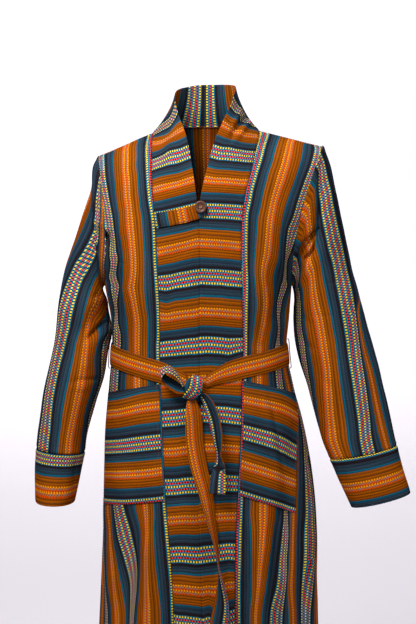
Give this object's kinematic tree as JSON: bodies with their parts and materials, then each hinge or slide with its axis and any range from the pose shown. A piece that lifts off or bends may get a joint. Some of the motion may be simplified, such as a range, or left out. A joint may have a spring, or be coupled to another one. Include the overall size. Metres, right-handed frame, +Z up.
{
  "type": "kimono robe",
  "caption": "Calf-length cotton kimono robe, worn shape and hollow, with a stand-up front band, tab and button at the V, patch pockets, cuffed sleeves and a knotted tie belt.",
  "frame": {"origin": "on the wearer's upright axis, level with the points where the shoulders meet the neck, which is where the shoulders hold the robe up", "axes": "+Z up, +X towards the wearer's left sleeve, -Y towards the front opening"},
  "size_m": [0.6556, 0.3302, 1.2073],
  "materials": {
    "striped_cotton": "matte woven cotton, stripes and dotted rows running down the pieces",
    "band_cotton": "matte woven cotton, the same cloth cut across",
    "belt_cotton": "matte woven cotton, the same cloth cut along its stripes and turned double",
    "button_wood": "dark coconut wood, lightly polished",
    "carrier_thread": "matte cotton thread"
  },
  "bodies": {
    "root": {"back": "striped_cotton", "front_right": "striped_cotton", "front_left": "striped_cotton", "band_right": "band_cotton", "band_left": "band_cotton", "pocket_right": "striped_cotton", "pocket_left": "striped_cotton", "sleeve_right": "striped_cotton", "sleeve_left": "striped_cotton", "cuff_right": "band_cotton", "cuff_left": "band_cotton", "button_tab": "band_cotton", "button": "button_wood", "belt_waist": "belt_cotton", "belt_knot": "belt_cotton", "belt_bow_loop": "belt_cotton", "belt_tail_long": "belt_cotton", "belt_tail_short": "belt_cotton", "belt_carrier_right": "carrier_thread", "belt_carrier_left": "band_cotton"}
  },
  "joints": []
}
